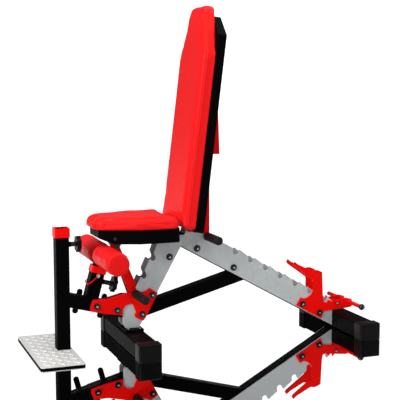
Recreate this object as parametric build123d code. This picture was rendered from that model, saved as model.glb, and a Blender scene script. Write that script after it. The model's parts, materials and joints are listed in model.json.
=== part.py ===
from build123d import *

import math
import os

os.makedirs("parts", exist_ok=True)

# All sizes in millimetres. X runs to the rear, Y across, Z up from the floor. Sizes along X are
# first set out from the front face of the front foot, then moved so the footprint is centred.

# Overall layout
bench_half_width = 275
rear_foot_x = 890
tail_end_x = 986
foot_plate_front = -343
foot_plate_length = 160
seat_top = 496
back_length = 840
back_lean = 7

# Fits
run_fit = 0.05          # radial clearance of a turning or sliding round part
rest_gap = 0.3          # gap where a moving part lies in its seat
soft_gap = 0.3          # gap between padding and a neighbour that moves against it
slide_gap = 0.5         # per side, inner tube in outer tube

# Sections
tube = 50
tube_wall = 2.5
foot_h, foot_w, foot_wall = 60, 80, 3
cap_wall = 3
cap_length = 55
plate = 5
half = tube / 2
plate_in, plate_out = half, half + plate
bracket_out = plate_out + plate
lug_gap = 1
lug_in = plate_out + lug_gap
lug_out = lug_in + plate
bar_d = 20
grip_d = 33
grip_in = bracket_out + 2
strut_half = 19
fork_in = strut_half + 1
fork_out = fork_in + plate

# Bent frame: a rear beam and a leg at a right angle to it
beam_tilt = 29.2
corner = (243, 369)
beam_height = 90
plate_inset = 3
notch_count = 7
notch_first = (467, 327)
notch_pitch = (64.8, -36.3)
notch_radius = bar_d / 2 + 1
notch_wall = 26.1
notch_peak = (17, 18)
pockets = [(58, 192), (94, 257), (130, 323)]
seam_rise, pocket_seam = 0.5, 3.4
core_gap = 3.8
cradle = (346, 406)
back_hinge = (277, 440)
seat_hinge = (216, 431)
back_ear_r, seat_ear_r = 14, 12
back_axle_d, seat_axle_d = 12, 10
flange_t = 8
flange_half = 65
flange_inset = 14

# Brace and leg-developer arm
brace_point, brace_rise = (165, 154), 15.4
arm_point, arm_tilt = (-159, 183), 15
post_x = -215
arm_front_x = post_x + half
axle_point = (-63, 355)
tower_top = -44
collar_size = tube + 6
collar_low, collar_high = -70, -45
t_bar = 40
t_bar_low = -140
roller_d, roller_in, roller_out = 86, 22, 242
sleeve_wall = 2
axle_half = 235
bar_knob_at = -100
bar_knob_face, post_knob_face = 66, 55
pin_at = -78.6
pin_d = 8
handle_points = [(-143, 170), (-47, 144.3)]
handle_length, handle_d, handle_y = 96, 22, 60

# Foot post
post_h = 460
post_collar_low, post_collar_high = 429, 463
foot_base_t, foot_tread_t = 6, 3
foot_half = 230
post_knob_z = 400
stub_length = 200

# Knobs and their threaded stems
screw_d = 10
boss_d, boss_h = 20, 10
stem_d = 18
knob_r, knob_t = 31, 16

# Seat
seat_pad_t = 39
seat_base_t = 52
seat_front, seat_back = -107, 204
base_front, base_back = -90, 208
chin_x, chin_h = -38, 21
seat_half, seat_nose_half = 138, 78
base_half, base_nose_half = 128, 72
recess_x, recess_half = 190, lug_out + 6
seat_pivot = (-12, 385)
seat_screw = (-36, 425)

# Backrest, set out from its hinge: x across its thickness, z along its length
pad_front, pad_back, shell_back = -58, -15, 19.5
pad_low = 2
pad_half, pad_top_half = 141, 60
shell_low, shell_high = -4, 804
shell_half, shell_top_half = 136, 50
slot_half, slot_high = lug_out + 7, 62
rail = 20
rail_low, rail_high = 12, 525
strut_pivot = (34.4, 326.6)
pivot_d = 12
strut_tip_r = 11

# Fasteners
bolt_d = 10
washer_d, washer_t = 26, 2
head_af, head_h = 17, 6.4
beam_bolts = [(195, 334), (307, 360), (459, 276)]
arm_bolts = [(-91, 164.8), (-13, 143.9)]
leg_bolts = [(125, 193), (85, 122)]
tail_bolts = [(757, 108), (833, 67)]
small_bolt, small_bolt_d = (912, 100), 6
peg_point, peg_d = (963, 103), 16
peg_far, peg_near = 135, -142
ball_d = 25

centre_x = (foot_plate_front + tail_end_x) / 2


def poly(points):
    return Polygon(*points, align=None)


def disc(centre, radius):
    return Pos(*centre) * Circle(radius)


def slab(profile, y0, y1):
    """A profile drawn in X and Z, with thickness from y0 to y1."""
    return Pos(0, y0, 0) * extrude(Plane.XZ * profile, amount=y1 - y0, dir=(0, 1, 0))


def pair(profile, y_in, y_out):
    return slab(profile, -y_out, -y_in) + slab(profile, y_in, y_out)


def block(x0, x1, y0, y1, z0, z1):
    return Pos((x0 + x1) / 2, (y0 + y1) / 2, (z0 + z1) / 2) * Box(x1 - x0, y1 - y0, z1 - z0)


def rod_y(centre, radius, y0, y1):
    return slab(disc(centre, radius), y0, y1)


def at(point, tilt):
    """Places a shape at a point of the XZ plane, its X axis dropping to the rear by tilt degrees."""
    return Location((point[0], 0, point[1]), (0, tilt, 0))


def bar(x0, x1, depth, width, wall, radius=4):
    """Square tube along X, centred on the axis."""
    w, d = width / 2, depth / 2
    outer = fillet(block(x0, x1, -w, w, -d, d).edges().filter_by(Axis.X), radius)
    w, d = w - wall, d - wall
    inner = fillet(block(x0, x1, -w, w, -d, d).edges().filter_by(Axis.X), max(radius - wall, 0.8))
    return outer - inner


def arc(centre, radius, start, end, steps=6):
    turn = [math.radians(start + (end - start) * i / steps) for i in range(steps + 1)]
    return [(centre[0] + radius * math.cos(a), centre[1] + radius * math.sin(a)) for a in turn]


def hull(a, ra, b, rb):
    """Outline round two circles, with straight sides tangent to both."""
    return make_hull(disc(a, ra).edges() + disc(b, rb).edges())


def hexagon(centre, y0, y1):
    return slab(Pos(*centre) * RegularPolygon(head_af / 2, 6, major_radius=False), y0, y1)


def save(name, shape):
    shape = Pos(-centre_x, 0, 0) * shape
    solids = shape.solids()
    export_step(solids[0] if len(solids) == 1 else Compound(solids), f"parts/{name}.step")


def beam_line(x, v):
    """Height of the line at v above the beam's underside."""
    t = math.radians(beam_tilt)
    x0, z0 = corner[0] + v * math.sin(t), corner[1] + v * math.cos(t)
    return z0 - (x - x0) * math.tan(t)


beam_frame = at(corner, beam_tilt)
foot_top = cap_wall + foot_h
leg_bottom = foot_top + flange_t

# --- Feet ---------------------------------------------------------------------------------------

end_caps = []
cross_x = {"front": cap_wall, "rear": rear_foot_x + cap_wall}
for end, x0 in cross_x.items():
    reach = bench_half_width - cap_wall
    z0, z1 = cap_wall, foot_top
    outer = fillet(block(x0, x0 + foot_w, -reach, reach, z0, z1).edges().filter_by(Axis.Y), 5)
    bore = block(x0 + foot_wall, x0 + foot_w - foot_wall, -reach, reach, z0 + foot_wall, z1 - foot_wall)
    save(f"{end}_crossbar", outer - bore)
    for side in (-1, 1):
        y_in, y_out = sorted((side * (bench_half_width - cap_length), side * bench_half_width))
        cap = block(x0 - cap_wall, x0 + foot_w + cap_wall, y_in, y_out, 0, z1 + cap_wall)
        outer_face = cap.faces().sort_by(Axis.Y)[-1 if side > 0 else 0]
        cap = chamfer(outer_face.edges().sort_by(Axis.Z)[1:], 10)
        end_caps.append(cap - outer)

save("end_caps", Compound(end_caps))

leg_front_x = 10
flange = block(leg_front_x, cross_x["front"] + foot_w, -flange_half, flange_half, foot_top, leg_bottom)
flange = fillet(flange.edges().filter_by(Axis.Z), 6)
save("leg_flange", flange)

flange_bolts = [
    Pos(x, side * (flange_half - flange_inset), leg_bottom + 2) * Cylinder(5, 4)
    for x in (leg_front_x + flange_inset, cross_x["front"] + foot_w - flange_inset)
    for side in (-1, 1)
]

# --- Frame plates -------------------------------------------------------------------------------

notches = [
    (notch_first[0] + k * notch_pitch[0], notch_first[1] + k * notch_pitch[1]) for k in range(notch_count)
]
rod_seat = bar_d / 2 + rest_gap
pocket_rods = [(x, z + rod_seat) for x, z in pockets]

outline = [(leg_front_x + 11, leg_bottom), (leg_front_x, 87), (leg_front_x, 165)]
for x, z in pockets:
    outline += [(x - rod_seat - 3.7, z + 6)] + arc((x, z + rod_seat), rod_seat, 205, 355)
    outline += [(x + rod_seat + 0.2, z + rod_seat + 2.7), (x + 4, z + 32), (x + 8, z + 42)]
outline += [(146, 388), (150, 398), (198, 398), (206, 431), (226, 431), (234, 416), (256, 416), (266, 440)]
outline += [(288, 440), (312, 420), (cradle[0] - rod_seat, 413)]
slope_z = cradle[1] - rod_seat - rest_gap
outline += arc(cradle, rod_seat, 180, 250) + [(cradle[0], slope_z), (400, beam_line(400, beam_height))]
for x, z in notches:
    outline += [(x - notch_radius, z + notch_wall), (x + notch_peak[0], z + notch_peak[1])]
beam_end = cross_x["rear"]
outline += [(beam_end, beam_line(beam_end, beam_height)), (beam_end, beam_line(beam_end, plate_inset))]
t = math.radians(beam_tilt)
inner_x = corner[0] + plate_inset * (math.sin(t) - math.cos(t))
inner = (inner_x, corner[1] + plate_inset * (math.cos(t) + math.sin(t)))
outline += [inner, (inner[0] - (inner[1] - leg_bottom) * math.tan(t), leg_bottom)]

cuts = Sketch()
for x, z in notches:
    r = notch_radius
    mouth = poly([(x - r, z + r), (x - r, z + 60), (x + notch_peak[0], z + 60),
                  (x + notch_peak[0], z + notch_peak[1]), (x + r, z + r)])
    cuts += [mouth, disc((x, z + r), r)]
through = beam_bolts + leg_bolts + tail_bolts
cuts += [disc(back_hinge, back_axle_d / 2), disc(seat_hinge, seat_axle_d / 2)]
cuts += [disc(p, bolt_d / 2) for p in through]

# The toothed edges are solids of their own, flush with the plate along two straight lines
teeth_v = (notch_first[1] - corner[1]) * math.cos(t) + (notch_first[0] - corner[0]) * math.sin(t) + seam_rise
reach = 2 * beam_end
beam_edge = poly([(cradle[0], beam_line(cradle[0], teeth_v)), (cradle[0], reach), (reach, reach),
                  (reach, beam_line(reach, teeth_v))])
pocket_slope = (pockets[-1][0] - pockets[0][0]) / (pockets[-1][1] - pockets[0][1])
seam_x = pockets[0][0] + pocket_seam - pockets[0][1] * pocket_slope
seam_top = (seam_x + corner[1] * pocket_slope, corner[1])
leg_edge = poly([(-reach, 0), (seam_x, 0), seam_top, (-reach, corner[1])])
for name, y0 in (("near", -plate_out), ("far", plate_in)):
    side_plate = slab(poly(outline), y0, y0 + plate)
    side_plate += rod_y(back_hinge, back_ear_r, y0, y0 + plate)
    side_plate += rod_y(seat_hinge, seat_ear_r, y0, y0 + plate)
    side_plate -= slab(cuts, y0, y0 + plate)
    edges = slab(beam_edge, y0, y0 + plate) + slab(leg_edge, y0, y0 + plate)
    save(f"side_plate_{name}", Compound((side_plate - edges).solids() + (side_plate & edges).solids()))

# --- Core tubes ---------------------------------------------------------------------------------

through_holes = [rod_y(p, bolt_d / 2, -half, half) for p in through]
rear_cut = block(beam_end, beam_end + 200, -100, 100, -200, 300)
core_u = (seat_hinge[0] - corner[0]) * math.cos(t) - (seat_hinge[1] - corner[1]) * math.sin(t)
core_u += seat_axle_d / 2 + core_gap
rear_core = beam_frame * (Pos(0, 0, half) * bar(core_u, 800, tube, tube, tube_wall))
rear_core = rear_core - rear_cut - through_holes
save("rear_core_tube", rear_core)

leg_core = beam_frame * (Pos(-half, 0, 0) * Rot(0, 90, 0) * bar(0, 420, tube, tube, tube_wall))
leg_core = leg_core - block(-200, 300, -100, 100, -200, leg_bottom) - through_holes
save("leg_core_tube", leg_core)

brace = at(brace_point, -brace_rise) * bar(-200, 500, tube, tube, tube_wall)
brace = brace & (beam_frame * block(0, 900, -100, 100, -900, 0))
save("brace_tube", brace)

# --- Front arm ----------------------------------------------------------------------------------

arm_frame = at(arm_point, arm_tilt)
arm = arm_frame * bar(-100, 400, tube, tube, tube_wall)
arm = arm - block(arm_front_x - 200, arm_front_x, -100, 100, 0, 400)
arm = arm - beam_frame * block(-tube, 500, -100, 100, -900, 200)
arm -= [rod_y(p, bolt_d / 2, -half, half) for p in arm_bolts]
handle_bores = [rod_y(p, screw_d / 2 + run_fit, 0, 100) for p in handle_points]
boss_y = half + 13
bosses = [rod_y(p, boss_d / 2, half, boss_y) for p in handle_points]
arm = arm - handle_bores
save("arm_tube", arm)
bosses = [b - handle_bores for b in bosses]

tower_frame = at(axle_point, arm_tilt)
rise = math.radians(arm_tilt)
offset = (axle_point[0] - arm_point[0], axle_point[1] - arm_point[1])
tower_foot = half - offset[0] * math.sin(rise) - offset[1] * math.cos(rise)
pin_bore = Pos(0, 0, pin_at) * Rot(90, 0, 0) * Cylinder(pin_d / 2 + run_fit, 200)
knob_bore = Pos(0, 0, bar_knob_at) * Rot(0, 90, 0) * Cylinder(screw_d / 2 + run_fit, 200)


def upright(z0, z1, size, wall):
    return Rot(0, -90, 0) * bar(z0, z1, size, size, wall)


axle_bore = Rot(90, 0, 0) * Cylinder(bar_d / 2, 200)
front_side = block(-200, 0, -100, 100, -200, 200)
knob_bore -= front_side
tower = upright(tower_foot, tower_top, tube, tube_wall) - pin_bore - knob_bore
save("tower_tube", tower_frame * tower)
tower_boss = Pos(half + boss_h / 2, 0, bar_knob_at) * Rot(0, 90, 0) * Cylinder(boss_d / 2, boss_h)
save("clamp_bosses", Compound(bosses + [tower_frame * (tower_boss - knob_bore)]))
collar = block(-collar_size / 2, collar_size / 2, -collar_size / 2, collar_size / 2, collar_low, collar_high)
collar = fillet(collar.edges().filter_by(Axis.Z), 5)
tower_solid = fillet(block(-half, half, -half, half, tower_foot, tower_top).edges().filter_by(Axis.Z), 4)
bar_half = t_bar / 2
t_bar_solid = block(-bar_half, bar_half, -bar_half, bar_half, t_bar_low, bar_half)
t_bar_solid = fillet(t_bar_solid.edges().filter_by(Axis.Z), 4)
save("tower_collar", tower_frame * (collar - tower_solid - t_bar_solid))
save("t_bar_tube", tower_frame * (upright(t_bar_low, t_bar / 2, t_bar, tube_wall) - pin_bore - axle_bore))
save("roller_axle", rod_y(axle_point, bar_d / 2, -axle_half, axle_half))

# --- Gussets and rear brackets ------------------------------------------------------------------

gusset = poly([
    (-118, 151), (-116, 166), (-106, 191), (-51, 191),
    (21, 208), (64, 203), (104, 212), (115, 220), (147, 199),
    (115, 139), (97, 106), (89, 97), (73, 102), (57, 113),
    (55, 121), (60, 132), (48, 162), (36, 165), (19, 159),
    (9, 144), (7, 123), (-61, 135), (-116, 149),
])
first_rod = pocket_rods[0]
gusset -= hull(first_rod, bar_d / 2 + 2, (first_rod[0] - 20, first_rod[1] + 40), bar_d / 2 + 2.1)
gusset -= Sketch() + [disc(p, bolt_d / 2) for p in arm_bolts + leg_bolts]
slot_r = boss_d / 2 + 1
rear_handle = handle_points[1]
handle_slot = hull(rear_handle, slot_r, (rear_handle[0], rear_handle[1] - tube), slot_r + 0.1)
save("gusset_near", slab(gusset, -bracket_out, -plate_out))
low_edge = poly([(-120, 179), (-51, 179), (21, 196), (64, 191), (64, 230), (-120, 230)])
save("gusset_far", slab(gusset - handle_slot - low_edge, plate_out, bracket_out))

bracket = poly([
    (730, 104), (749, 135), (766, 129), (780, 133),
    (796, 144), (803, 159), (803, 198), (800, 205), (721, 262),
    (714, 271), (721, 282), (735, 271), (798, 240), (813, 243), (825, 241), (843, 233), (848, 129),
    (852, 111), (864, 104), (875, 116), (890, 107), (897, 122), (905, 112), (957, 118), (978, 112),
    (tail_end_x, 96), (980, 80), (951, 76), (879, 73), (853, 70), (841, 41),
])
bracket -= Sketch() + [disc(p, bolt_d / 2) for p in tail_bolts]
bracket -= disc(small_bolt, small_bolt_d / 2) + disc(peg_point, peg_d / 2 + run_fit)
save("rear_bracket_near", slab(bracket, -bracket_out, -plate_out))
save("rear_bracket_far", slab(bracket, plate_out, bracket_out))

# --- Frame fasteners ----------------------------------------------------------------------------


def washer(p, y_face, side, bore=bolt_d / 2):
    y0, y1 = sorted((side * y_face, side * (y_face + washer_t)))
    return rod_y(p, washer_d / 2, y0, y1) - rod_y(p, bore, y0, y1)


def head(p, y_face, side):
    y0, y1 = sorted((side * (y_face + washer_t), side * (y_face + washer_t + head_h)))
    return hexagon(p, y0, y1)


bolts, washers = list(flange_bolts), []
for points, face in ((beam_bolts, plate_out), (leg_bolts + tail_bolts, bracket_out)):
    for p in points:
        shank = rod_y(p, bolt_d / 2, -face - washer_t, face + washer_t)
        bolts.append(shank + head(p, face, -1) + head(p, face, 1))
        washers += [washer(p, face, -1), washer(p, face, 1)]
spacers = []
for p in arm_bolts:
    for side in (-1, 1):
        y0, y1 = sorted((side * (half - tube_wall), side * (bracket_out + washer_t)))
        bolts.append(rod_y(p, bolt_d / 2, y0, y1) + head(p, bracket_out, side))
        washers.append(washer(p, bracket_out, side))
        y0, y1 = sorted((side * half, side * plate_out))
        spacers.append(rod_y(p, washer_d / 2, y0, y1) - rod_y(p, bolt_d / 2, y0, y1))
small_shank = rod_y(small_bolt, small_bolt_d / 2, -bracket_out, bracket_out)
bolts.append(small_shank + rod_y(small_bolt, 6, -bracket_out - 4, -bracket_out)
             + rod_y(small_bolt, 6, bracket_out, bracket_out + 4))
save("frame_bolts", Compound(bolts))
save("frame_washers", Compound(washers))
save("arm_spacers", Compound(spacers))

axles = []
for point, d in ((back_hinge, back_axle_d), (seat_hinge, seat_axle_d)):
    reach = lug_out + 1
    axles.append(rod_y(point, d / 2, -reach, reach)
                 + rod_y(point, d / 2 + 3, -reach - 4, -reach) + rod_y(point, d / 2 + 3, reach, reach + 4))
save("hinge_axles", Compound(axles))

# --- Foot post ----------------------------------------------------------------------------------

foot_top_z = foot_base_t + foot_tread_t
foot_outline = (foot_plate_front, foot_plate_front + foot_plate_length, -foot_half, foot_half)
for name, z0, z1 in (("foot_plate", 0, foot_base_t), ("foot_tread", foot_base_t, foot_top_z)):
    save(name, fillet(block(*foot_outline, z0, z1).edges().filter_by(Axis.Z), 10))

knob_axis = Pos(post_x, 0, post_knob_z) * Rot(0, 90, 0)
post_knob_bore = Pos(100, 0, 0) * (knob_axis * Cylinder(screw_d / 2 + run_fit, 200))
post_frame = Pos(post_x, 0, 0)
post = post_frame * upright(foot_top_z, post_h, tube, tube_wall)
boss = Pos(post_x + half + boss_h / 2, 0, post_knob_z) * Rot(0, 90, 0) * Cylinder(boss_d / 2, boss_h)
save("post_tube", post + boss - post_knob_bore)
cs = collar_size / 2
sleeve = fillet(block(-cs, cs, -cs, cs, post_collar_low, post_collar_high).edges().filter_by(Axis.Z), 5)
post_solid = fillet(block(-half, half, -half, half, foot_top_z, post_h).edges().filter_by(Axis.Z), 4)
mouth_half = half - tube_wall
save("post_collar", post_frame * (sleeve - post_solid
                                  - block(-mouth_half, mouth_half, -mouth_half, mouth_half, post_h, 500)))
stub_size = tube - 2 * (tube_wall + slide_gap)
stub = arm_frame * bar(-100, stub_length - 30, stub_size, stub_size, 3, 2.5)
save("post_stub", stub - block(-400, arm_front_x, -100, 100, 0, 400))

# --- Knobs and handles --------------------------------------------------------------------------

star = Circle(knob_r - 5) + PolarLocations(knob_r - 8, 7) * Circle(8)


def knob(tip, boss_face, disc_face):
    """Knob along X: threaded tip, plain stem and lobed disc, clear of the boss it turns in."""
    start = boss_face + rest_gap
    screw = Pos((tip + start) / 2, 0, 0) * Rot(0, 90, 0) * Cylinder(screw_d / 2, start - tip)
    stem = Pos((start + disc_face) / 2, 0, 0) * Rot(0, 90, 0) * Cylinder(stem_d / 2, disc_face - start)
    grip = Pos(disc_face, 0, 0) * extrude(Plane.YZ * star, amount=knob_t, dir=(1, 0, 0))
    return screw + stem, grip


stem, grip = knob(half - 4, half + boss_h, post_knob_face)
save("post_knob_screw", Pos(post_x, 0, post_knob_z) * stem)
save("post_knob", Pos(post_x, 0, post_knob_z) * grip)
stem, grip = knob(t_bar / 2 + rest_gap, half + boss_h, bar_knob_face)
save("bar_knob_screw", tower_frame * Pos(0, 0, bar_knob_at) * stem)
save("bar_knob", tower_frame * Pos(0, 0, bar_knob_at) * grip)

for name, p in zip(("front", "rear"), handle_points):
    start = boss_y + rest_gap
    screw = rod_y(p, screw_d / 2, stub_size / 2 + rest_gap, start) + rod_y(p, stem_d / 2, start, handle_y)
    grip = Cylinder(handle_d / 2, handle_length)
    grip = fillet(grip.edges(), handle_d / 2 - 1)
    grip = at(p, arm_tilt) * Pos(0, handle_y, 0) * grip
    save(f"t_handle_{name}_screw", screw - grip)
    save(f"t_handle_{name}", grip)

# --- Lock pin -----------------------------------------------------------------------------------

pin_end = half + 9
pin = Rot(90, 0, 0) * Cylinder(pin_d / 2, 2 * pin_end)
pin += Pos(0, -(half + 2), 0) * Rot(90, 0, 0) * Cylinder(7, 3)
bail_y, bail_reach, bail_r = half + 6, half + 22.8, 2
bail_ends = [(0, -bail_y, 0), (-bail_reach, -bail_y, 0), (-bail_reach, bail_y, 0), (0, bail_y, 0)]
path = FilletPolyline(*bail_ends, radius=12)
bail = sweep(Plane(origin=(0, -bail_y, 0), z_dir=(-1, 0, 0)) * Circle(bail_r), path=path)
pin_frame = tower_frame * Pos(0, 0, pin_at)
bail_frame = pin_frame * Rot(0, -52.3, 0)
save("lock_pin", pin_frame * pin - bail_frame * bail)
save("pin_bail", bail_frame * bail)

# --- Peg rod ------------------------------------------------------------------------------------

peg = rod_y(peg_point, peg_d / 2, peg_near, peg_far)
save("peg_rod", peg)
save("peg_ball", Pos(peg_point[0], peg_near - 5, peg_point[1]) * Sphere(ball_d / 2) - peg)

# --- Rollers ------------------------------------------------------------------------------------

for name, side in (("near", -1), ("far", 1)):
    def span(radius, y0, y1):
        return rod_y(axle_point, radius, *sorted((side * y0, side * y1)))
    bore_r = bar_d / 2 + run_fit
    sleeve_end = axle_half + 1
    foam = span(roller_d / 2, roller_in + soft_gap, roller_out)
    foam = fillet(foam.edges(), 8) - span(bore_r + sleeve_wall, roller_in, sleeve_end)
    save(f"roller_{name}", foam)
    sleeve = span(bore_r + sleeve_wall, roller_in + 1, sleeve_end) - span(bore_r, roller_in, sleeve_end)
    save(f"roller_sleeve_{name}", sleeve)

# --- Seat ---------------------------------------------------------------------------------------

pad_z = seat_top - seat_pad_t
base_z = pad_z - seat_base_t
taper_x = 55
half_shape = [(seat_front, seat_nose_half), (taper_x, seat_half), (seat_back, seat_half)]
seat_shape = poly(half_shape + [(x, -y) for x, y in reversed(half_shape)])
seat_shape = fillet(seat_shape.vertices(), 22)
seat_pad = extrude(seat_shape, amount=seat_pad_t, dir=(0, 0, 1))
save("seat_pad", Pos(0, 0, pad_z) * fillet(seat_pad.edges().group_by(Axis.Z)[-1], 9))

half_shape = [(base_front, base_nose_half), (taper_x, base_half), (base_back, base_half)]
base_shape = poly(half_shape + [(x, -y) for x, y in reversed(half_shape)])
base_shape = fillet(base_shape.vertices(), 18)
base_shape -= Pos((recess_x + base_back) / 2 + 5, 0) * Rectangle(base_back - recess_x + 10, 2 * recess_half)
chin_slope = chin_h / (chin_x - base_front)
chin_end = base_front - 10
chin = poly([(chin_x, base_z), (chin_end, base_z), (chin_end, base_z + (chin_x - chin_end) * chin_slope)])
seat_base = Pos(0, 0, base_z) * extrude(base_shape, amount=seat_base_t, dir=(0, 0, 1))
seat_base -= slab(chin, -base_half, base_half)
save("seat_base", seat_base)

lug = poly([(recess_x, 412), (recess_x, 448), (206, 444), (226, 440), (224, 421), (206, 417)])
lug += disc(seat_hinge, seat_ear_r)
lug -= disc(seat_hinge, seat_axle_d / 2 + run_fit)

x, z = seat_pivot
strut_lug = poly([(x - 26, base_z), (x + 30, base_z), (x + 10, z - 6), (x - 10, z - 4)])
strut_lug += disc(seat_pivot, strut_tip_r)
strut_lug -= disc(seat_pivot, pivot_d / 2)
save("seat_brackets", pair(lug, lug_in, lug_out) + pair(strut_lug, fork_in, fork_out))
taper = (base_half - base_nose_half) / (taper_x - base_front)
screw_y = base_nose_half + (seat_screw[0] - base_front) * taper
seat_screws = [rod_y(seat_screw, 6, -screw_y - 4, 3 - screw_y) - seat_base,
               rod_y(seat_screw, 6, screw_y - 3, screw_y + 4) - seat_base]


def pivot_pin(p):
    reach = fork_out
    return rod_y(p, pivot_d / 2, -reach - 3, reach + 3) + rod_y(p, pivot_d / 2 + 3, -reach - 5, -reach) \
        + rod_y(p, pivot_d / 2 + 3, reach, reach + 5)


save("seat_fasteners", Compound(seat_screws + [pivot_pin(seat_pivot)]))

# --- Struts -------------------------------------------------------------------------------------


def strut(rod, rod_r, pivot, pivot_r, open_side):
    """Channel of folded sheet round both pins, open towards open_side of the line joining them."""
    wall = 3
    d = math.dist(rod, pivot)
    normal = (-(pivot[1] - rod[1]) / d * open_side, (pivot[0] - rod[0]) / d * open_side)
    inner_rod = (rod[0] + normal[0] * wall, rod[1] + normal[1] * wall)
    inner_pivot = (pivot[0] + normal[0] * wall, pivot[1] + normal[1] * wall)
    body = slab(hull(rod, rod_r, pivot, pivot_r), -strut_half, strut_half)
    body -= slab(hull(inner_rod, rod_r, inner_pivot, pivot_r), wall - strut_half, strut_half - wall)
    body -= rod_y(rod, bar_d / 2, -strut_half, strut_half)
    return body - rod_y(pivot, pivot_d / 2 + run_fit, -strut_half, strut_half)


def cross_rod(name, rod, grip_end, grip_sides):
    """Steel rod across a strut; a side with a grip sticks out, the other ends past the bracket."""
    steel_end = {s: s * (grip_end - 3 if s in grip_sides else bracket_out + 3) for s in (-1, 1)}
    steel = rod_y(rod, bar_d / 2, steel_end[-1], steel_end[1])
    save(f"{name}_rod", steel)
    grips = [rod_y(rod, grip_d / 2, *sorted((s * grip_in, s * grip_end))) - steel for s in grip_sides]
    save(f"{name}_grips", Compound(grips))


save("seat_strut", strut(pocket_rods[0], 19.5, seat_pivot, 13, 1))
cross_rod("seat_strut", pocket_rods[0], 168, (-1,))

back_frame = at(back_hinge, back_lean)
lean = math.radians(back_lean)
pivot = (back_hinge[0] + strut_pivot[0] * math.cos(lean) + strut_pivot[1] * math.sin(lean),
         back_hinge[1] - strut_pivot[0] * math.sin(lean) + strut_pivot[1] * math.cos(lean))
save("back_strut", strut(cradle, 16, pivot, strut_tip_r, 1))
cross_rod("back_strut", cradle, 165, (-1, 1))

# --- Backrest -----------------------------------------------------------------------------------


def board(side_points, radius, x0, x1):
    """Board of the backrest from half its outline, given as points across and along."""
    outline = side_points + [(-y, z) for y, z in reversed(side_points)]
    shape = poly(outline)
    shape = fillet(shape.vertices(), radius)
    return Pos(x0, 0, 0) * extrude(Plane.YZ * shape, amount=x1 - x0, dir=(1, 0, 0))


pad_side = [(pad_half, pad_low), (pad_half, 655), (pad_top_half + 16, back_length - 18),
            (pad_top_half, back_length)]
pad = board(pad_side, 12, pad_front, pad_back)
pad = fillet(pad.edges().group_by(Axis.X)[0], 9)
save("back_pad", back_frame * pad)
shell_side = [(shell_half, shell_low), (shell_half, 733), (shell_top_half, shell_high)]
shell = board(shell_side, 12, pad_back, shell_back)
shell -= block(pad_back, shell_back, -slot_half, slot_half, shell_low - 5, slot_high)
save("back_shell", back_frame * shell)

rail_back = shell_back + rail
rails = [Pos(shell_back + rail / 2, s * (lug_out + rail / 2), 0) * upright(rail_low, rail_high, rail, 2)
         for s in (-1, 1)]
save("back_rails", back_frame * Compound(rails))
back_lug = poly([
    (-9, 10), (shell_back, slot_high), (rail_back - 2, 70), (rail_back - 2, rail_low + 4), (10, -9),
])
back_lug += disc((0, 0), back_ear_r)
back_lug -= disc((0, 0), back_axle_d / 2 + run_fit)

web = 3
fork = poly([(shell_back, 285), (89, 293), (56, 497), (shell_back + web, 560), (shell_back, 560)])
fork -= disc(strut_pivot, pivot_d / 2)
back_bracket = pair(fork, fork_in, fork_out) + block(shell_back, shell_back + web, -lug_in, lug_in, 285, 560)
save("back_brackets", back_frame * (back_bracket + pair(back_lug, lug_in, lug_out)))
save("back_pivot_pin", pivot_pin(pivot))
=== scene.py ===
import json
import math

import bmesh
import bpy
from mathutils import Matrix, Vector, noise
from mathutils.bvhtree import BVHTree

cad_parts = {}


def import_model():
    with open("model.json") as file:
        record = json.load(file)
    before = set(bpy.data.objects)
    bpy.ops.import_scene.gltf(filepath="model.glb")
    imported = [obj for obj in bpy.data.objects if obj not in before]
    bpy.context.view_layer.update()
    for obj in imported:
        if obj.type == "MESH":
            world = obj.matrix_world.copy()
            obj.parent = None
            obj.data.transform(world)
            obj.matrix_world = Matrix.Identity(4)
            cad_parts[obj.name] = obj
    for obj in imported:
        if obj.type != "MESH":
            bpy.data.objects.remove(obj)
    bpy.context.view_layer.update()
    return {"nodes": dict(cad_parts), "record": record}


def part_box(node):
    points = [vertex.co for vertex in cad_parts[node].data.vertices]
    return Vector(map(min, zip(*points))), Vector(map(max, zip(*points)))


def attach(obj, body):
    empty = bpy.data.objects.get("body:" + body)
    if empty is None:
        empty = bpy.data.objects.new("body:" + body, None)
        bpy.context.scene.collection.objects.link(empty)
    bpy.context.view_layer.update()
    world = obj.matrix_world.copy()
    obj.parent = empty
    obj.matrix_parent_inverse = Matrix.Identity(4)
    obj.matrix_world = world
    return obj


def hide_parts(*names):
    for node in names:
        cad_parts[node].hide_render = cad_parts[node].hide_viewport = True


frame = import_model()
NODES = frame["nodes"]
MM = 0.001

# The CAD's own layout, in millimetres from the front face of the front foot, moved by CENTRE_X.
CENTRE_X = 321.5
BACK_HINGE = (277, 440)
BACK_LEAN = 7
AXLE = (-63, 355)
ARM_TILT = 15
PAD_FRONT, PAD_BACK = 60, 15
SEAT_TOP, SEAT_THICK = 496, 39
CAMERA_AT = (-1006.4, -3601.9, 1006.4)
CAMERA_YAW, CAMERA_PITCH = 20.36, -6.88
CAMERA_LENS = 90.41


def world(x, y, z):
    return Vector(((x - CENTRE_X) * MM, y * MM, z * MM))


# --- Materials ----------------------------------------------------------------------------------


def add(tree, kind, props=None, **inputs):
    node = tree.nodes.new(kind)
    for key, value in (props or {}).items():
        setattr(node, key, value)
    for key, value in inputs.items():
        node.inputs[key.replace("_", " ")].default_value = value
    return node


def shade(colour, factor):
    return tuple(min(1, c * factor) for c in colour) + (1,)


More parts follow.
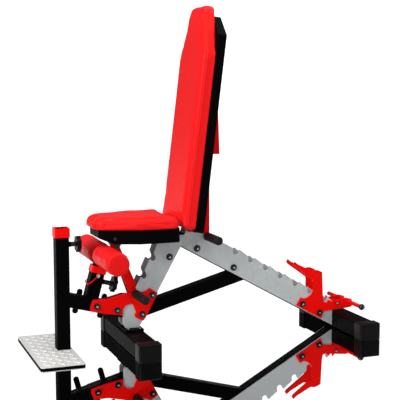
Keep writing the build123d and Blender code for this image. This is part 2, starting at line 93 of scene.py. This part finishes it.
def new_material(name, colour, roughness, metallic=0.0, tint=0.06, tint_scale=14, rough_spread=0.06,
                 bevel=0.0, edge=None, edge_amount=0.5, **sockets):
    """Principled surface with slow colour and roughness variation, softened edges and edge wear."""
    mat = bpy.data.materials.new(name)
    mat.use_nodes = True
    tree = mat.node_tree
    bsdf = tree.nodes["Principled BSDF"]
    bsdf.inputs["Metallic"].default_value = metallic
    for key, value in sockets.items():
        bsdf.inputs[key.replace("_", " ")].default_value = value
    link = tree.links.new
    coords = add(tree, "ShaderNodeTexCoord")
    cloud = add(tree, "ShaderNodeTexNoise", Scale=tint_scale, Detail=5.0, Roughness=0.6)
    link(coords.outputs["Object"], cloud.inputs["Vector"])
    mix = add(tree, "ShaderNodeMix", {"data_type": "RGBA"})
    mix.inputs["A"].default_value = shade(colour, 1 - tint)
    mix.inputs["B"].default_value = shade(colour, 1 + tint)
    mix.inputs[6].default_value = shade(colour, 1 - tint)
    mix.inputs[7].default_value = shade(colour, 1 + tint)
    link(cloud.outputs["Fac"], mix.inputs[0])
    colour_out = mix.outputs[2]
    spots = add(tree, "ShaderNodeTexNoise", Scale=tint_scale * 6, Detail=6.0, Roughness=0.7)
    link(coords.outputs["Object"], spots.inputs["Vector"])
    spread = add(tree, "ShaderNodeMapRange", From_Min=0.3, From_Max=0.7)
    spread.inputs["To Min"].default_value = roughness - rough_spread
    spread.inputs["To Max"].default_value = roughness + rough_spread
    link(spots.outputs["Fac"], spread.inputs["Value"])
    link(spread.outputs["Result"], bsdf.inputs["Roughness"])
    normal = None
    if bevel:
        soft = add(tree, "ShaderNodeBevel", {"samples": 6}, Radius=bevel)
        normal = soft.outputs["Normal"]
        if edge:
            geometry = add(tree, "ShaderNodeNewGeometry")
            dot = add(tree, "ShaderNodeVectorMath", {"operation": "DOT_PRODUCT"})
            link(normal, dot.inputs[0])
            link(geometry.outputs["Normal"], dot.inputs[1])
            rim = add(tree, "ShaderNodeMapRange", From_Min=0.98, From_Max=0.75, To_Min=0.0, To_Max=edge_amount)
            link(dot.outputs["Value"], rim.inputs["Value"])
            patchy = add(tree, "ShaderNodeMath", {"operation": "MULTIPLY"})
            link(rim.outputs["Result"], patchy.inputs[0])
            link(spots.outputs["Fac"], patchy.inputs[1])
            worn = add(tree, "ShaderNodeMix", {"data_type": "RGBA"})
            link(patchy.outputs["Value"], worn.inputs[0])
            link(colour_out, worn.inputs[6])
            worn.inputs[7].default_value = tuple(edge) + (1,)
            colour_out = worn.outputs[2]
    link(colour_out, bsdf.inputs["Base Color"])
    return mat, tree, bsdf, coords, normal


def bump(parts, height, strength, distance):
    """Adds a bump layer, on top of what the surface's normal already has."""
    mat, tree, bsdf, coords, normal = parts
    layer = add(tree, "ShaderNodeBump", Strength=strength, Distance=distance)
    tree.links.new(height, layer.inputs["Height"])
    if normal:
        tree.links.new(normal, layer.inputs["Normal"])
    tree.links.new(layer.outputs["Normal"], bsdf.inputs["Normal"])
    return mat, tree, bsdf, coords, layer.outputs["Normal"]


def noise_height(parts, scale, stretch=(1, 1, 1), detail=3.0):
    mat, tree, bsdf, coords, normal = parts
    mapping = add(tree, "ShaderNodeMapping", Scale=stretch)
    tree.links.new(coords.outputs["Object"], mapping.inputs["Vector"])
    tex = add(tree, "ShaderNodeTexNoise", Scale=scale, Detail=detail)
    tree.links.new(mapping.outputs["Vector"], tex.inputs["Vector"])
    return tex.outputs["Fac"]


def cell_height(parts, scale):
    mat, tree, bsdf, coords, normal = parts
    tex = add(tree, "ShaderNodeTexVoronoi", {"feature": "SMOOTH_F1"}, Scale=scale, Smoothness=0.6)
    tree.links.new(coords.outputs["Object"], tex.inputs["Vector"])
    return tex.outputs["Distance"]


def vinyl(name, colour):
    parts = new_material(name, colour, 0.4, tint=0.05, tint_scale=9, Specular_IOR_Level=0.12)
    parts = bump(parts, noise_height(parts, 55, detail=2.0), 0.12, 0.002)
    parts = bump(parts, cell_height(parts, 620), 0.35, 0.0004)
    return parts[0]


def powder_coat(name, colour, roughness, edge, metallic=0.0, peel=0.06, **sockets):
    parts = new_material(name, colour, roughness, metallic, tint=0.05, bevel=0.0009, edge=edge, **sockets)
    return bump(parts, noise_height(parts, 900), peel, 0.0006)[0]


def brushed(name, colour, roughness, metallic=1.0):
    parts = new_material(name, colour, roughness, metallic, tint=0.08, tint_scale=60, bevel=0.0006,
                         edge=(0.9, 0.9, 0.9), edge_amount=0.4)
    return bump(parts, noise_height(parts, 700, (1, 1, 12)), 0.08, 0.0003)[0]


def moulded(name, colour, roughness, grain=1400, depth=0.25, **sockets):
    parts = new_material(name, colour, roughness, tint=0.12, bevel=0.0015, edge=(0.03, 0.03, 0.03),
                         edge_amount=0.35, **sockets)
    return bump(parts, noise_height(parts, grain, detail=2.0), depth, 0.0004)[0]


RED = (0.88, 0.009, 0.01)
MATERIALS = {
    "red_vinyl": vinyl("red_vinyl", RED),
    # Lighter copy of the red vinyl: a painted highlight along the welts and the roller seams.
    "welt_vinyl_painted_highlight": vinyl("welt_vinyl_painted_highlight", (0.95, 0.025, 0.022)),
    "red_paint": powder_coat("red_paint", (1.0, 0.003, 0.002), 0.36, (0.95, 0.1, 0.08),
                             Specular_IOR_Level=0.08),
    "silver_paint": powder_coat("silver_paint", (0.62, 0.66, 0.67), 0.42, (0.75, 0.77, 0.79), 0.3, 0.05),
    "black_paint": powder_coat("black_paint", (0.002, 0.0018, 0.0017), 0.48, (0.03, 0.03, 0.03), peel=0.08,
                               Specular_IOR_Level=0.02),
    "black_steel": powder_coat("black_steel", (0.012, 0.012, 0.012), 0.3, (0.3, 0.3, 0.29), 0.5, 0.05),
    "zinc_steel": brushed("zinc_steel", (0.5, 0.49, 0.46), 0.32),
    "tread": brushed("tread", (0.86, 0.86, 0.84), 0.38, 0.25),
    "black_shell": moulded("black_shell", (0.0018, 0.0018, 0.002), 0.5, Specular_IOR_Level=0.03),
    "black_plastic": moulded("black_plastic", (0.0025, 0.0025, 0.0025), 0.42, depth=0.12, Specular_IOR_Level=0.1),
    "grip_rubber": moulded("grip_rubber", (0.014, 0.011, 0.01), 0.6, grain=800, depth=0.5, Specular_IOR_Level=0.2),
}
MATERIALS["gloss_ball"] = moulded("gloss_ball", (0.003, 0.003, 0.003), 0.14, depth=0.05, Specular_IOR_Level=0.5)
SLOT_OF = {s["node"]: s["material_slot"] for s in frame["record"]["subparts"]}
for node_name, obj in NODES.items():
    obj.data.materials.clear()
    obj.data.materials.append(MATERIALS["gloss_ball" if node_name == "peg_ball" else SLOT_OF[node_name]])

# --- Mesh helpers -------------------------------------------------------------------------------


def mesh_object(name, bm, material, smooth=True):
    bmesh.ops.recalc_face_normals(bm, faces=bm.faces)
    mesh = bpy.data.meshes.new(name)
    bm.to_mesh(mesh)
    bm.free()
    mesh.materials.append(MATERIALS[material])
    for poly in mesh.polygons:
        poly.use_smooth = smooth
    obj = bpy.data.objects.new(name, mesh)
    bpy.context.scene.collection.objects.link(obj)
    return obj


def place(obj, body, slot, *replaced):
    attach(obj, body)
    if replaced:
        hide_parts(*replaced)
    return obj


def modify(obj, kind, **settings):
    modifier = obj.modifiers.new(kind.lower(), kind)
    for key, value in settings.items():
        setattr(modifier, key, value)
    return modifier


def bake(obj):
    """Replaces the mesh by its evaluated one and drops the modifiers."""
    bpy.context.view_layer.update()
    result = bpy.data.meshes.new_from_object(obj.evaluated_get(bpy.context.evaluated_depsgraph_get()))
    obj.modifiers.clear()
    old = obj.data
    obj.data = result
    bpy.data.meshes.remove(old)
    return obj


def loft(bm, rings, cap=True):
    """Faces between rings of equal length, closed round each ring, with the end rings filled."""
    loops = [[bm.verts.new(p) for p in ring] for ring in rings]
    for low, high in zip(loops, loops[1:]):
        for i in range(len(low)):
            j = (i + 1) % len(low)
            bm.faces.new((low[i], low[j], high[j], high[i]))
    if cap:
        bm.faces.new(loops[0][::-1])
        bm.faces.new(loops[-1])
    return loops


def rounded(corners, radii, steps=8):
    """Closed outline with an arc at each corner."""
    points = []
    n = len(corners)
    for i, (corner, radius) in enumerate(zip(corners, radii)):
        here = Vector(corner)
        to_last = (Vector(corners[i - 1]) - here).normalized()
        to_next = (Vector(corners[(i + 1) % n]) - here).normalized()
        half = to_last.angle(to_next) / 2
        cut = radius / math.tan(half)
        centre = here + (to_last + to_next).normalized() * radius / math.sin(half)
        start, end = here + to_last * cut - centre, here + to_next * cut - centre
        turn = start.angle_signed(end)
        for k in range(steps + 1):
            a = -turn * k / steps
            points.append(centre + Matrix.Rotation(a, 2) @ start)
    return points


def densify(outline, step):
    result = []
    for a, b in zip(outline, outline[1:] + outline[:1]):
        count = max(1, round((b - a).length / step))
        result += [a.lerp(b, k / count) for k in range(count)]
    return result


def inset(outline, distance):
    """Moves each point of a closed, counter-clockwise outline inwards."""
    moved = []
    for i, p in enumerate(outline):
        along = outline[(i + 1) % len(outline)] - outline[i - 1]
        normal = Vector((-along.y, along.x)).normalized()
        moved.append(p + normal * distance)
    return moved


def tube(name, points, radius, material, closed=False, sides=8):
    bm = bmesh.new()
    rings = []
    n = len(points)
    for i, p in enumerate(points):
        last = points[i - 1] if i or closed else p
        following = points[(i + 1) % n] if i < n - 1 or closed else p
        along = (following - last).normalized()
        side = along.orthogonal().normalized() if not rings else (side - along * side.dot(along)).normalized()
        up = along.cross(side)
        rings.append([p + (side * math.cos(a) + up * math.sin(a)) * radius
                      for a in (2 * math.pi * k / sides for k in range(sides))])
    loops = loft(bm, rings, cap=not closed)
    if closed:
        low, high = loops[-1], loops[0]
        for i in range(sides):
            j = (i + 1) % sides
            bm.faces.new((low[i], low[j], high[j], high[i]))
    return mesh_object(name, bm, material)


def lathe(name, profile, origin, axis, material, segments=64, ripple=None):
    """Turns a profile of (distance along, radius) in millimetres about an axis."""
    axis = Vector(axis).normalized()
    side = axis.orthogonal().normalized()
    up = axis.cross(side)
    bm = bmesh.new()
    rings = []
    for along, radius in profile:
        ring = []
        for k in range(segments):
            a = 2 * math.pi * k / segments
            r = radius + (ripple(along, radius, a) if ripple else 0)
            ring.append(origin + (axis * along + (side * math.cos(a) + up * math.sin(a)) * r) * MM)
        rings.append(ring)
    loft(bm, rings)
    return mesh_object(name, bm, material)


# --- Upholstery ---------------------------------------------------------------------------------

VOXEL = 0.005
SWELL_FRAMES = 20


def swell(obj, pinned, cap):
    """Fills a closed cover with air as cloth, its glued face held, and limits how far it moves."""
    modify(obj, "REMESH", mode="VOXEL", voxel_size=VOXEL)
    bake(obj)
    start = [v.co.copy() for v in obj.data.vertices]
    group = obj.vertex_groups.new(name="glued")
    group.add([i for i, p in enumerate(start) if pinned(p)], 1.0, "ADD")
    cloth = modify(obj, "CLOTH")
    s = cloth.settings
    s.quality = 5
    s.mass = 0.3
    s.tension_stiffness = s.compression_stiffness = 18
    s.shear_stiffness = 8
    s.bending_stiffness = 0.6
    s.use_pressure = True
    s.uniform_pressure_force = 4
    s.effector_weights.gravity = 0
    s.vertex_group_mass = "glued"
    cloth.collision_settings.use_collision = False
    cloth.collision_settings.use_self_collision = False
    cloth.point_cache.frame_end = SWELL_FRAMES
    for step in range(1, SWELL_FRAMES + 1):
        bpy.context.scene.frame_set(step)
    bake(obj)
    bpy.context.scene.frame_set(1)
    for vertex, p in zip(obj.data.vertices, start):
        move = vertex.co - p
        if move.length > cap:
            vertex.co = p + move * (cap / move.length)
    obj.vertex_groups.clear()
    modify(obj, "SMOOTH", factor=0.5, iterations=4)
    bake(obj)
    return obj


class Cushion:
    """A pad on a flat board: an outline in its own plane, lifted along its normal."""

    def __init__(self, name, corners, radii, thickness, to_world, body, node, fill):
        self.name, self.to_world, self.body, self.thickness = name, to_world, body, thickness
        self.outline = densify(rounded(corners, radii), 8)
        levels = [(2.5, 0), (0.8, 2), (0.4, 0.3 * thickness), (0.2, 0.55 * thickness), (1, thickness - 9),
                  (3.2, thickness - 4), (7, thickness - 1), (13, thickness)]
        bm = bmesh.new()
        rings = [[self.at(p, h) for p in inset(self.outline, d)] for d, h in levels]
        loft(bm, rings)
        self.obj = mesh_object(name, bm, "red_vinyl")
        back = to_world.inverted()
        swell(self.obj, lambda p: (back @ p).z < 1.5, 0.006)
        for low, high in ((0.60, 1.3), (0.80, 1.1)):
            self.groove(low * thickness, high)
        modify(self.obj, "SUBSURF", levels=1, render_levels=1)
        bake(self.obj)
        for poly in self.obj.data.polygons:
            poly.use_smooth = True
        place(self.obj, body, "red_vinyl", node)
        self.tree = BVHTree.FromObject(self.obj, bpy.context.evaluated_depsgraph_get())

    def at(self, p, height):
        return self.to_world @ Vector((p.x, p.y, height))

    def groove(self, height, depth):
        """Presses a sewn line into the side of the pad."""
        back = self.to_world.inverted()
        for vertex in self.obj.data.vertices:
            p = back @ vertex.co
            near = math.exp(-((p.z - height) / 2.2) ** 2)
            if near > 0.05:
                inwards = back.to_3x3() @ vertex.normal
                inwards = Vector((inwards.x, inwards.y, 0))
                if inwards.length > 0.4:
                    p -= inwards.normalized() * depth * near
                    vertex.co = self.to_world @ p

    def on_surface(self, p, height, sink):
        spot, normal, _, _ = self.tree.find_nearest(self.at(p, height))
        return spot - normal * sink * MM

    def welt(self, height, radius=1.3):
        points = [self.on_surface(p, height, 0.2) for p in densify(self.outline, 6)]
        # The welt wears the lighter vinyl, a painted highlight along the seam.
        line = tube(f"{self.name}_welt_{round(height)}", points, radius * MM, "welt_vinyl_painted_highlight", closed=True)
        return place(line, self.body, "red_vinyl")


seat_low = SEAT_TOP - SEAT_THICK
seat_frame = Matrix.Translation(world(0, 0, seat_low)) @ Matrix.Scale(MM, 4)
seat = Cushion("seat_cushion", [(-108, -78), (55, -138), (204, -138), (204, 138), (55, 138), (-108, 78)],
               [46, 90, 20, 20, 90, 46], SEAT_THICK, seat_frame, "seat", "seat_pad", 0.9)
seat.welt(0.70 * SEAT_THICK)

# The backrest's own plane: along the back, across it, and out of its front face.
lean = Matrix.Rotation(math.radians(BACK_LEAN), 4, "Y")
board = Matrix(((0, 0, -1, -PAD_BACK), (0, 1, 0, 0), (1, 0, 0, 0), (0, 0, 0, 1)))
back_frame = Matrix.Translation(world(BACK_HINGE[0], 0, BACK_HINGE[1])) @ lean @ Matrix.Scale(MM, 4) @ board
back_half = [(2, -141), (655, -141), (822, -76), (840, -60)]
back_corners = back_half + [(along, -across) for along, across in reversed(back_half)]
back = Cushion("back_cushion", back_corners, [18, 90, 58, 26, 26, 58, 90, 18], PAD_FRONT - PAD_BACK,
               back_frame, "backrest", "back_pad", 0.9)
back.welt(0.70 * (PAD_FRONT - PAD_BACK))


def roller(name, side):
    """Foam roller in a sewn cover: a tube with a disc sewn on each end."""
    inner, outer, radius, bore = 22.6, 242, 43.5, 12.3
    length = outer - inner
    profile = [(0, bore), (0.4, radius - 20), (0.2, radius - 14), (1.2, radius - 11), (0.8, radius - 9),
               (4, radius - 4.5), (8, radius - 1.7), (14, radius - 0.4), (24, radius)]
    middle = [(24 + (length - 48) * k / 14, radius - 0.5 * math.sin(math.pi * k / 14)) for k in range(1, 14)]
    end = [(length - a, r) for a, r in reversed(profile[1:])] + [(length + 0.6, 8)]
    profile = profile + middle + end

    def pucker(along, r, a):
        edge = min(along, length - along)
        fade = math.exp(-((edge - 8) / 9) ** 2)
        wave = 0.5 * math.sin(17 * a + 2 * math.sin(3 * a)) + 0.35 * math.sin(29 * a + side)
        facet = 1.1 * math.cos(8 * a) * math.exp(-((edge - 12) / 22) ** 2)
        lump = 1.4 * noise.noise(Vector((math.cos(a) * 1.3, math.sin(a) * 1.3, along * 0.02 + side)))
        return (wave * fade + facet + lump - 0.9) * (1 if r > 25 else r / radius)

    obj = lathe(name, profile, world(AXLE[0], side * inner, AXLE[1]), (0, side, 0), "red_vinyl", 96, pucker)
    place(obj, name, "red_vinyl", name)
    for along, r in ((4.5, radius - 4.4), (length - 4.5, radius - 4.4)):
        centre = world(AXLE[0], side * (inner + along), AXLE[1])
        ring = [centre + Vector((math.cos(a), 0, math.sin(a))) * r * MM
                for a in (2 * math.pi * k / 64 for k in range(64))]
        # Seam rings in the lighter vinyl, a painted highlight round each roller end.
        place(tube(f"{name}_seam_{round(along)}", ring, 1.2 * MM, "welt_vinyl_painted_highlight", closed=True), name, "red_vinyl")


roller("roller_near", -1)
roller("roller_far", 1)

# --- Chequer tread ------------------------------------------------------------------------------


def tread_plate():
    """Raised lens-shaped bars on the foot plate, turned by quarters in a chequer."""
    low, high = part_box("foot_tread")
    pitch, bar_half, bar_wide, bar_high = 0.027, 0.0148, 0.0042, 0.0016
    bm = bmesh.new()
    columns = int((high.x - low.x - 0.01) / pitch)
    rows = int((high.y - low.y - 0.01) / pitch)
    for i in range(columns):
        for j in range(rows):
            centre = Vector(((low.x + high.x) / 2 + (i - (columns - 1) / 2) * pitch,
                             (low.y + high.y) / 2 + (j - (rows - 1) / 2) * pitch, high.z))
            turn = Matrix.Rotation(math.pi / 4 * (1 if (i + j) % 2 else -1), 3, "Z")
            rings = []
            for lift, spread in ((-0.0004, 1.0), (0.0, 1.0), (0.7 * bar_high, 0.72), (bar_high, 0.35)):
                ring = []
                for k in range(12):
                    a = 2 * math.pi * k / 12
                    x, y = math.cos(a) * bar_half * (0.75 + 0.25 * spread), math.sin(a) * bar_wide * spread
                    ring.append(centre + turn @ Vector((x, y, 0)) + Vector((0, 0, lift)))
                rings.append(ring)
            loft(bm, rings)
    place(mesh_object("tread_bars", bm, "tread"), "foot_post", "tread")


tread_plate()

# --- Grips --------------------------------------------------------------------------------------


def strut_grips(node, body, side, reach, radius, centre):
    """Ribbed rubber sleeve with a rounded end over one end of a cross rod."""
    start_at = 37
    length = reach - start_at
    profile = [(0, 10.2), (0, radius - 1.4), (1.2, radius - 0.3)]
    ribs = int((length - 16) / 5)
    for k in range(ribs):
        start = 6 + k * (length - 14) / ribs
        profile += [(start, radius - 0.1), (start + 0.8, radius - 0.7), (start + 1.6, radius - 0.1)]
    profile += [(length - 5, radius - 0.1), (length - 2, radius - 1.4), (length - 0.4, radius - 4),
                (length, radius - 7), (length + 0.1, 4)]
    origin = centre + Vector((0, side * start_at * MM, 0))
    name = f"{body}_grip_{'near' if side < 0 else 'far'}"
    place(lathe(name, profile, origin, (0, side, 0), "grip_rubber", 40), body, "grip_rubber", node)


for strut_name in ("seat_strut", "back_strut"):
    low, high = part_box(f"{strut_name}_grips")
    grip_r = (high.z - low.z) / 2 / MM
    rod_centre = Vector(((low.x + high.x) / 2, 0, (low.z + high.z) / 2))
    for side in ((-1, 1) if high.y > 0 else (-1,)):
        strut_grips(f"{strut_name}_grips", strut_name, side, -low.y / MM, grip_r, rod_centre)

# --- Bolt heads ---------------------------------------------------------------------------------


def islands(mesh):
    """Loose parts of a mesh, each as its lowest and highest corner."""
    bm = bmesh.new()
    bm.from_mesh(mesh)
    bmesh.ops.remove_doubles(bm, verts=bm.verts, dist=1e-5)
    left = set(bm.verts)
    boxes = []
    while left:
        queue = [left.pop()]
        part = []
        while queue:
            vertex = queue.pop()
            part.append(vertex.co.copy())
            for edge in vertex.link_edges:
                other = edge.other_vert(vertex)
                if other in left:
                    left.discard(other)
                    queue.append(other)
        boxes.append([Vector(pick(p[k] for p in part) for k in range(3)) for pick in (min, max)])
    bm.free()
    return boxes


def add_bolt_glints():
    """Bright zinc dome in the middle of each head of the through bolts, standing in for the glint on the black
    heads: a painted highlight.
    """
    node = NODES["frame_bolts"]
    profile = [(0, 3.9), (0.5, 3.7), (1.0, 3.0), (1.3, 1.8), (1.4, 0.4)]
    for number, (low, high) in enumerate(islands(node.data)):
        low, high = node.matrix_world @ low, node.matrix_world @ high
        for side, y in ((-1, low.y), (1, high.y)):
            if side * y < 0.035:
                continue
            origin = Vector(((low.x + high.x) / 2, y - side * 0.0002, (low.z + high.z) / 2))
            # Zinc dome as a painted glint on the black bolt head.
            dome = lathe(f"bolt_glint_dome_{number}_{side}", profile, origin, (0, side, 0), "zinc_steel", 24)
            place(dome, "frame", "zinc_steel")


add_bolt_glints()

# --- End caps -----------------------------------------------------------------------------------


def end_cap(name, node, low, high, side):
    """Moulded slip-over cap with generous outer radii and softened edges."""
    bm = bmesh.new()
    size = high - low
    centre = (low + high) / 2
    bmesh.ops.create_cube(bm, size=1, matrix=Matrix.Translation(centre) @ Matrix.Diagonal((*size, 1)))
    outer = [e for e in bm.edges
             if all(abs(v.co.y - (high.y if side > 0 else low.y)) < 1e-6 for v in e.verts)]
    outer_top = [e for e in outer if max(v.co.z for v in e.verts) > centre.z]
    bmesh.ops.bevel(bm, geom=outer_top, offset=0.011, segments=5, profile=0.6, affect="EDGES")
    sharp = [e for e in bm.edges if e.calc_face_angle(0) > 0.6]
    bmesh.ops.bevel(bm, geom=sharp, offset=0.0035, segments=3, profile=0.6, affect="EDGES")
    return place(mesh_object(name, bm, "black_plastic"), "frame", "black_plastic", node)


cap_low, cap_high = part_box("end_caps")
for end in ("front", "rear"):
    tube_low, tube_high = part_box(f"{end}_crossbar")
    wall = 0.003
    for side, label in ((-1, "near"), (1, "far")):
        y0, y1 = sorted((side * (cap_high.y - 0.055), side * cap_high.y))
        low = Vector((tube_low.x - wall, y0, 0))
        high = Vector((tube_high.x + wall, y1, tube_high.z + wall))
        end_cap(f"{end}_cap_{label}", "end_caps", low, high, side)

# --- Stage --------------------------------------------------------------------------------------

bm = bmesh.new()
bmesh.ops.create_grid(bm, x_segments=1, y_segments=1, size=30)
floor_mat = bpy.data.materials.new("floor")
floor_mat.use_nodes = True
polished = floor_mat.node_tree.nodes["Principled BSDF"]
for name, value in {"Base Color": (0.74, 0.74, 0.74, 1), "Roughness": 0.0, "Metallic": 1.0}.items():
    polished.inputs[name].default_value = value
MATERIALS["floor"] = floor_mat
mesh_object("floor", bm, "floor", smooth=False)

SKY_SEEN, SKY_FILL, SKY_GLOSS = 1.45, 0.42, 0.2
sky = bpy.data.worlds.new("studio")
sky.use_nodes = True
backdrop = sky.node_tree.nodes["Background"]
backdrop.inputs["Color"].default_value = (1, 1, 1, 1)
rays = add(sky.node_tree, "ShaderNodeLightPath")
seen = add(sky.node_tree, "ShaderNodeMath", {"operation": "MAXIMUM"})
soft = add(sky.node_tree, "ShaderNodeMapRange", To_Min=SKY_GLOSS, To_Max=SKY_FILL)
level = add(sky.node_tree, "ShaderNodeMix")
level.inputs[3].default_value = SKY_SEEN
sky.node_tree.links.new(rays.outputs["Is Camera Ray"], seen.inputs[0])
sky.node_tree.links.new(rays.outputs["Is Singular Ray"], seen.inputs[1])
sky.node_tree.links.new(rays.outputs["Is Diffuse Ray"], soft.inputs["Value"])
sky.node_tree.links.new(seen.outputs["Value"], level.inputs[0])
sky.node_tree.links.new(soft.outputs["Result"], level.inputs[2])
sky.node_tree.links.new(level.outputs[0], backdrop.inputs["Strength"])
bpy.context.scene.world = sky
bpy.context.scene.view_settings.view_transform = "Standard"


def area_light(name, position, target, size, power):
    data = bpy.data.lights.new(name, "AREA")
    data.shape = "RECTANGLE"
    data.size, data.size_y = size
    data.energy = power
    obj = bpy.data.objects.new(name, data)
    obj.location = position
    obj.rotation_euler = (Vector(target) - Vector(position)).to_track_quat("-Z", "Y").to_euler()
    bpy.context.scene.collection.objects.link(obj)


area_light("key", (-3.5, -1.9, 2.5), (0, 0, 0.5), (2.0, 2.0), 125)
area_light("top", (0.2, -0.4, 3.6), (0, 0, 0.4), (3.0, 2.0), 60)
area_light("side", (3.2, -1.6, 1.8), (0.1, 0, 0.5), (1.2, 2.4), 30)

camera = bpy.data.objects.new("camera", bpy.data.cameras.new("camera"))
bpy.context.scene.collection.objects.link(camera)
yaw, pitch = math.radians(CAMERA_YAW), math.radians(CAMERA_PITCH)
forward = Vector((math.sin(yaw) * math.cos(pitch), math.cos(yaw) * math.cos(pitch), math.sin(pitch)))
right = Vector((math.cos(yaw), -math.sin(yaw), 0))
up = right.cross(forward)
camera.matrix_world = Matrix.Translation(world(*CAMERA_AT)) @ Matrix((right, up, -forward)).transposed().to_4x4()
camera.data.sensor_width = 36
camera.data.lens = CAMERA_LENS
camera.data.clip_end = 100
bpy.context.scene.camera = camera
